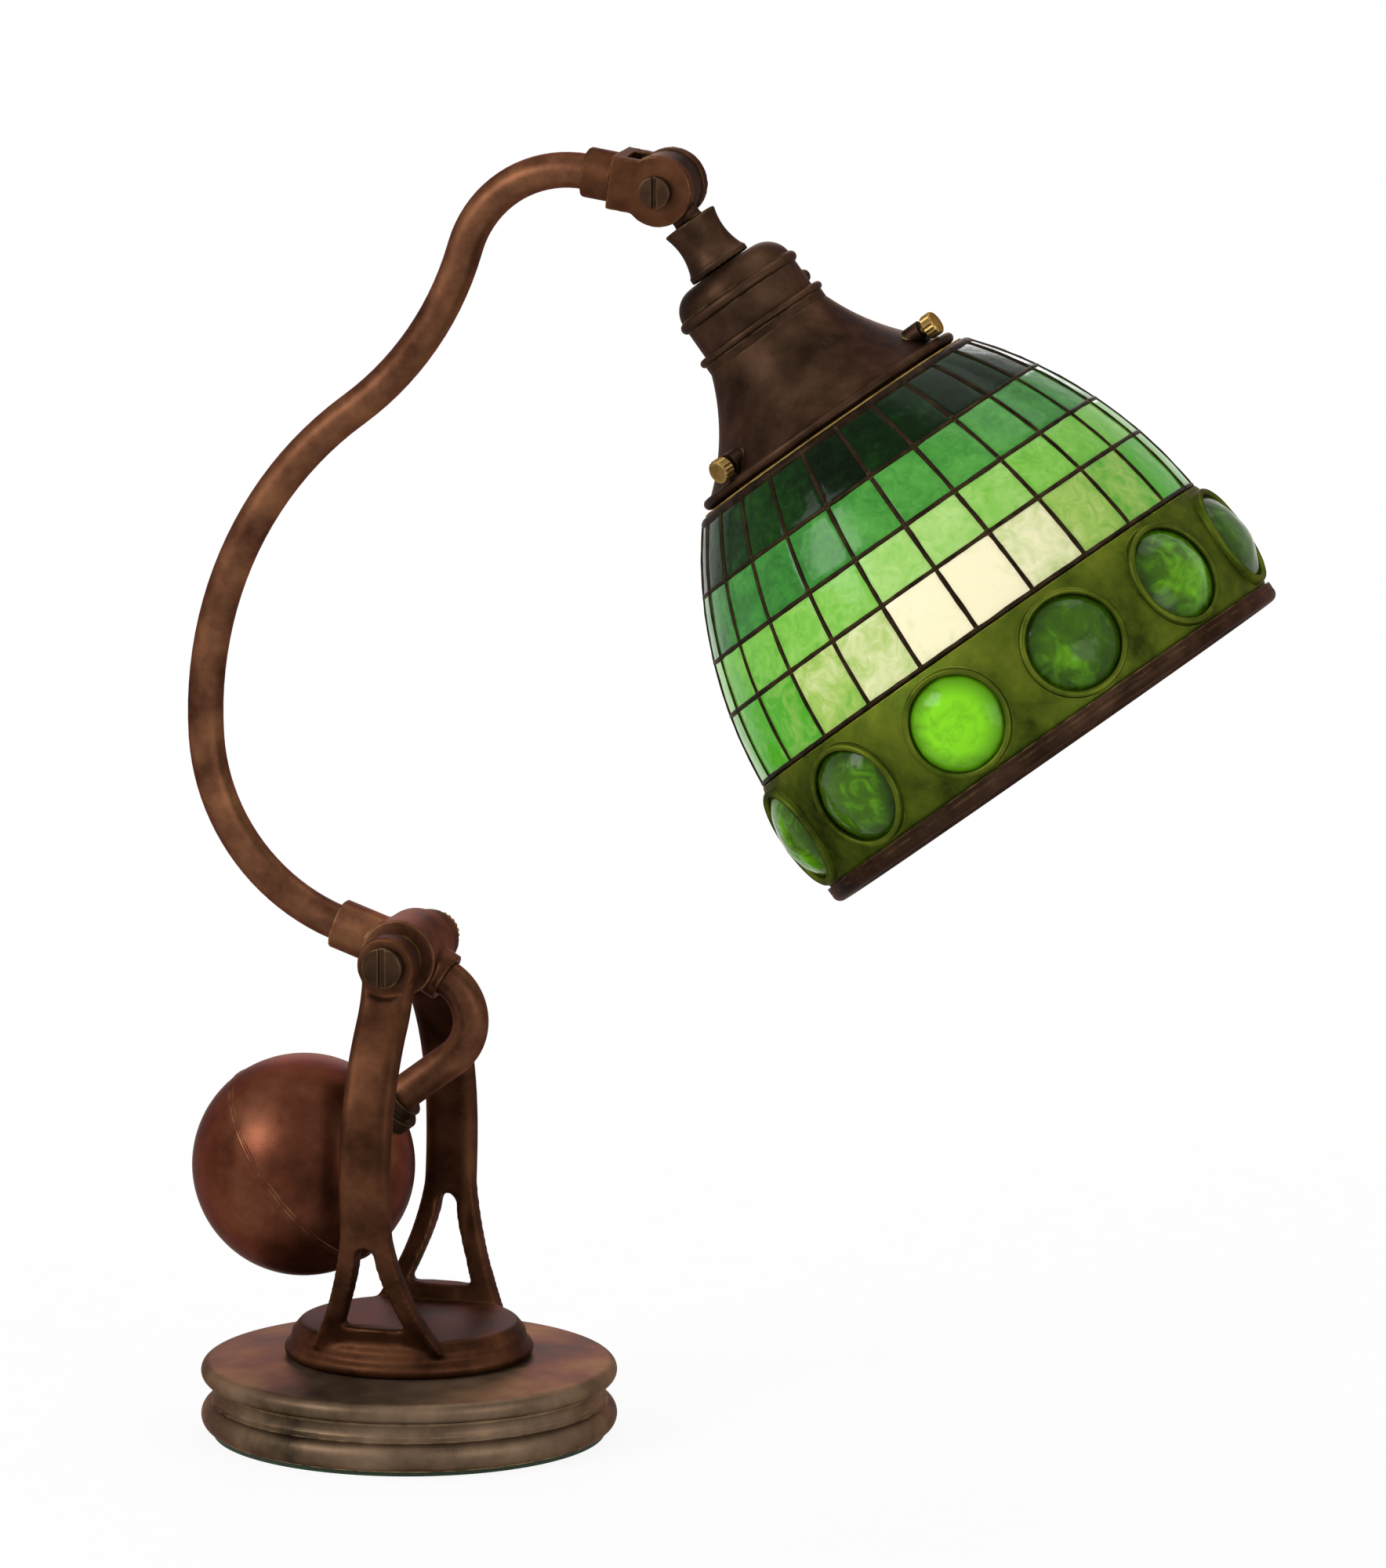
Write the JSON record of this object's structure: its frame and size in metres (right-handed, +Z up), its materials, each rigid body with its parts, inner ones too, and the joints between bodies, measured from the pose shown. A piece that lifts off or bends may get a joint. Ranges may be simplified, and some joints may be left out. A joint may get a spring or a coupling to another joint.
{
  "type": "counterbalance desk lamp",
  "caption": "Desk lamp: an S-shaped arm tilts on a forked stand, balanced by a ball on its hooked tail, and carries a leaded glass shade on a tilting knuckle.",
  "frame": {"origin": "centre of the underside of the base", "axes": "+Z up, +X from the base's axis towards the shade, Y along the cross axle"},
  "size_m": [0.3757, 0.19, 0.4433],
  "materials": {
    "bronze": "brown patina, satin",
    "dark_bronze": "dark brown patina",
    "ball_bronze": "reddish brown patina, polished",
    "brass": "aged",
    "iron": "black, rough",
    "steel": "zinc plated",
    "felt": "green felt",
    "bush": "black moulded",
    "liner": "fibre board",
    "porcelain": "glazed",
    "lead": "patinated solder",
    "green_glass": "mottled opalescent",
    "pale_glass": "mottled opalescent",
    "tile_glass": "pressed, domed",
    "bulb_glass": "frosted"
  },
  "bodies": {
    "base": {"base_casting": "bronze", "base_weight": "iron", "bottom_plate": "steel", "plate_screws": "steel", "felt_pad": "felt", "cord_inlet_bush": "bush", "stem_bolt": "steel", "stem_washer": "steel", "stem_nut": "steel", "fork": "bronze", "pivot_axle": "dark_bronze", "pivot_washers": "brass", "axle_sleeves": "bronze"},
    "pivot_nut": {"pivot_thumb_nut": "brass"},
    "arm": {"arm_knuckle": "bronze", "arm_tube": "bronze", "tail_hook": "bronze", "ball_collar": "dark_bronze", "ball_shell_upper": "ball_bronze", "ball_shell_lower": "ball_bronze", "ball_core": "iron", "head_clevis": "bronze", "tilt_bolt": "dark_bronze", "tilt_washers": "brass"},
    "tilt_nut": {"tilt_thumb_nut": "brass"},
    "head": {"head_tongue": "bronze", "socket_cup": "dark_bronze", "holder_shell": "brass", "holder_liner": "liner", "holder_body": "porcelain", "holder_screw_shell": "brass", "holder_contact": "brass", "shade_cap": "dark_bronze", "shade_screws": "brass", "shade_collar": "brass", "came_rings": "lead", "came_ribs": "lead", "glass_top_row": "green_glass", "glass_mid_row": "green_glass", "glass_low_row": "green_glass", "glass_band": "pale_glass", "belt_frame": "dark_bronze", "tile_bezels": "dark_bronze", "belt_tiles": "tile_glass", "rim_ring": "dark_bronze", "bulb_base": "steel", "bulb_glass": "bulb_glass"},
    "key": {"switch_key": "dark_bronze"}
  },
  "joints": [
    {"name": "arm_tilt", "type": "hinge", "parent": "base", "child": "arm", "pos_m": [0, 0, 0.165], "axis": [0, 1, 0], "range_deg": [-35, 20]},
    {"name": "shade_tilt", "type": "hinge", "parent": "arm", "child": "head", "pos_m": [0.09063, 0, 0.43127], "axis": [0, 1, 0], "range_deg": [-50, 45]},
    {"name": "pivot_nut_turn", "type": "hinge", "parent": "base", "child": "pivot_nut", "pos_m": [0, 0.0299, 0.165], "axis": [0, 1, 0], "range_deg": [-180, 180]},
    {"name": "tilt_nut_turn", "type": "hinge", "parent": "arm", "child": "tilt_nut", "pos_m": [0.09063, 0.015, 0.43127], "axis": [0, 1, 0], "range_deg": [-180, 180]},
    {"name": "switch_turn", "type": "hinge", "parent": "head", "child": "key", "pos_m": [0.1206, 0.03, 0.39149], "axis": [0, 1, 0], "continuous": true}
  ]
}
